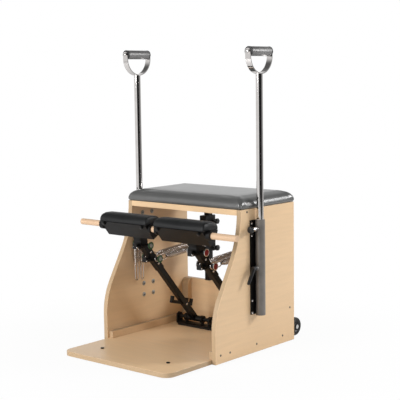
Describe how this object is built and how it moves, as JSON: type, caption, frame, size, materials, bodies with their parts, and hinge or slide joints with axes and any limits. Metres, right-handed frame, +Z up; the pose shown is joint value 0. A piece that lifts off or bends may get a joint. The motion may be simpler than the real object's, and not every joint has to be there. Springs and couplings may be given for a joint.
{
  "type": "pilates chair",
  "caption": "Plywood pilates chair with split spring-loaded pedals joined by a dowel, padded seat, D-handle poles in side sleeves and rear wheels.",
  "frame": {"origin": "on the floor under the middle of the chair's outline", "axes": "+X to the right seen from the front, +Y to the back, +Z up"},
  "size_m": [0.82, 0.848, 1.203],
  "materials": {
    "beech_ply": "clear-lacquered beech-faced plywood",
    "dowel_wood": "clear-lacquered turned hardwood",
    "grey_vinyl": "dark grey upholstery vinyl, fine grain",
    "black_vinyl": "black upholstery vinyl, fine grain",
    "black_steel": "black powder coat",
    "grey_steel": "gunmetal grey enamel",
    "chrome": "bright chrome plate",
    "spring_steel": "zinc-plated spring wire",
    "zinc": "zinc-plated fasteners",
    "rubber": "black rubber",
    "tyre": "black polyurethane tread",
    "black_plastic": "moulded black plastic",
    "grip_foam": "dark grey grip sleeve",
    "green_plastic": "moulded green plastic",
    "red_plastic": "moulded red plastic"
  },
  "bodies": {
    "frame": {"base_board": "beech_ply", "side_panel_left": "beech_ply", "side_panel_right": "beech_ply", "inner_battens": "beech_ply", "seat_deck": "beech_ply", "back_panel": "beech_ply", "seat_cushion": "grey_vinyl", "panel_screws": "zinc", "rubber_feet": "rubber", "base_bolts": "black_steel", "pivot_axles": "black_steel", "sleeve_rails": "black_steel", "rail_bolts": "zinc", "tee_nuts": "zinc", "wheel_brackets": "zinc", "spare_springs": "spring_steel", "spare_spring_pegs": "black_steel", "spring_post_left": "black_steel", "spring_carriage_left": "black_steel", "pivot_bracket_left": "black_steel", "sleeve_left": "grey_steel", "spring_post_right": "black_steel", "spring_carriage_right": "black_steel", "pivot_bracket_right": "black_steel", "sleeve_right": "grey_steel"},
    "pedal_left": {"pedal_arm_left": "black_steel", "pedal_frame_left": "black_steel", "pedal_pad_left": "black_vinyl", "pedal_bolts_left": "black_plastic", "spring_caps_left": "green_plastic"},
    "springs_left": {"spring_pair_left": "spring_steel"},
    "hooks_left": {"spring_hooks_left": "spring_steel"},
    "pole_left": {"pole_left": "chrome", "handle_strap_left": "chrome"},
    "grip_left": {"grip_left": "grip_foam"},
    "pull_knob_left": {"pull_knob_left": "black_plastic"},
    "clamp_lever_left": {"clamp_lever_left": "black_plastic"},
    "wheel_left": {"wheel_tyre_left": "tyre", "wheel_hub_left": "black_plastic"},
    "stop_left": {"stop_carriage_left": "black_steel"},
    "stop_knobs_left": {"stop_knobs_left": "black_plastic"},
    "carriage_knobs_left": {"carriage_knobs_left": "black_plastic"},
    "pedal_right": {"pedal_arm_right": "black_steel", "pedal_frame_right": "black_steel", "pedal_pad_right": "black_vinyl", "pedal_bolts_right": "black_plastic", "spring_caps_right": "red_plastic"},
    "springs_right": {"spring_pair_right": "spring_steel"},
    "hooks_right": {"spring_hooks_right": "spring_steel"},
    "pole_right": {"pole_right": "chrome", "handle_strap_right": "chrome"},
    "grip_right": {"grip_right": "grip_foam"},
    "pull_knob_right": {"pull_knob_right": "black_plastic"},
    "clamp_lever_right": {"clamp_lever_right": "black_plastic"},
    "wheel_right": {"wheel_tyre_right": "tyre", "wheel_hub_right": "black_plastic"},
    "stop_right": {"stop_carriage_right": "black_steel"},
    "stop_knobs_right": {"stop_knobs_right": "black_plastic"},
    "carriage_knobs_right": {"carriage_knobs_right": "black_plastic"},
    "dowel": {"dowel": "dowel_wood"}
  },
  "joints": [
    {"name": "left_pedal", "type": "hinge", "parent": "frame", "child": "pedal_left", "pos_m": [-0.147, 0.224, 0.052], "axis": [1, 0, 0], "range_deg": [0, 40], "stiffness_Nm_per_rad": 55, "springref_deg": -63.03},
    {"name": "left_spring_swing", "type": "hinge", "parent": "frame", "child": "springs_left", "pos_m": [-0.147, 0.294, 0.378], "axis": [1, 0, 0], "range_deg": [0, 26]},
    {"name": "left_spring_stretch", "type": "slide", "parent": "springs_left", "child": "hooks_left", "axis": [0, -0.997, -0.0772], "range_m": [0, 0.21], "deforming": ["spring_pair_left"]},
    {"name": "left_pole_slide", "type": "slide", "parent": "frame", "child": "pole_left", "axis": [0, 0, 1], "range_m": [-0.04, 0.16]},
    {"name": "left_grip_spin", "type": "hinge", "parent": "pole_left", "child": "grip_left", "pos_m": [-0.323, 0.078, 1.184], "axis": [0, 1, 0], "continuous": true},
    {"name": "left_pull", "type": "slide", "parent": "frame", "child": "pull_knob_left", "axis": [0, -1, 0], "range_m": [0, 0.008], "stiffness_N_per_m": 1500, "springref_m": -0.01},
    {"name": "left_lever", "type": "hinge", "parent": "frame", "child": "clamp_lever_left", "pos_m": [-0.323, 0.0455, 0.347], "axis": [0, 1, 0], "range_deg": [0, 100]},
    {"name": "left_wheel_spin", "type": "hinge", "parent": "frame", "child": "wheel_left", "pos_m": [-0.262, 0.386, 0.044], "axis": [1, 0, 0], "continuous": true},
    {"name": "left_stop_slide", "type": "slide", "parent": "frame", "child": "stop_left", "axis": [0, 0, 1], "range_m": [-0.05, 0.055]},
    {"name": "left_stop_knobs", "type": "hinge", "parent": "stop_left", "child": "stop_knobs_left", "pos_m": [-0.147, 0.343, 0.464], "axis": [1, 0, 0], "continuous": true},
    {"name": "left_carriage_knobs", "type": "hinge", "parent": "frame", "child": "carriage_knobs_left", "pos_m": [-0.147, 0.343, 0.347], "axis": [1, 0, 0], "continuous": true},
    {"name": "right_pedal", "type": "hinge", "parent": "frame", "child": "pedal_right", "pos_m": [0.147, 0.224, 0.052], "axis": [1, 0, 0], "range_deg": [0, 40], "stiffness_Nm_per_rad": 55, "springref_deg": -63.03},
    {"name": "right_spring_swing", "type": "hinge", "parent": "frame", "child": "springs_right", "pos_m": [0.147, 0.294, 0.378], "axis": [1, 0, 0], "range_deg": [0, 26]},
    {"name": "right_spring_stretch", "type": "slide", "parent": "springs_right", "child": "hooks_right", "axis": [0, -0.997, -0.0772], "range_m": [0, 0.21], "deforming": ["spring_pair_right"]},
    {"name": "right_pole_slide", "type": "slide", "parent": "frame", "child": "pole_right", "axis": [0, 0, 1], "range_m": [-0.04, 0.16]},
    {"name": "right_grip_spin", "type": "hinge", "parent": "pole_right", "child": "grip_right", "pos_m": [0.323, 0.078, 1.184], "axis": [0, 1, 0], "continuous": true},
    {"name": "right_pull", "type": "slide", "parent": "frame", "child": "pull_knob_right", "axis": [0, -1, 0], "range_m": [0, 0.008], "stiffness_N_per_m": 1500, "springref_m": -0.01},
    {"name": "right_lever", "type": "hinge", "parent": "frame", "child": "clamp_lever_right", "pos_m": [0.323, 0.0455, 0.347], "axis": [0, -1, 0], "range_deg": [0, 100]},
    {"name": "right_wheel_spin", "type": "hinge", "parent": "frame", "child": "wheel_right", "pos_m": [0.262, 0.386, 0.044], "axis": [1, 0, 0], "continuous": true},
    {"name": "right_stop_slide", "type": "slide", "parent": "frame", "child": "stop_right", "axis": [0, 0, 1], "range_m": [-0.05, 0.055]},
    {"name": "right_stop_knobs", "type": "hinge", "parent": "stop_right", "child": "stop_knobs_right", "pos_m": [0.147, 0.343, 0.464], "axis": [1, 0, 0], "continuous": true},
    {"name": "right_carriage_knobs", "type": "hinge", "parent": "frame", "child": "carriage_knobs_right", "pos_m": [0.147, 0.343, 0.347], "axis": [1, 0, 0], "continuous": true},
    {"name": "dowel_slide", "type": "slide", "parent": "pedal_left", "child": "dowel", "axis": [1, 0, 0], "range_m": [-0.13, 0.13]}
  ],
  "couplings": [
    {"joint": "right_pedal", "follows": "left_pedal", "ratio": 1},
    {"joint": "left_spring_swing", "follows": "left_pedal", "ratio": 0.64},
    {"joint": "left_spring_stretch", "follows": "left_pedal", "m_per_rad": 0.298},
    {"joint": "right_spring_swing", "follows": "left_pedal", "ratio": 0.64},
    {"joint": "right_spring_stretch", "follows": "left_pedal", "m_per_rad": 0.298}
  ]
}
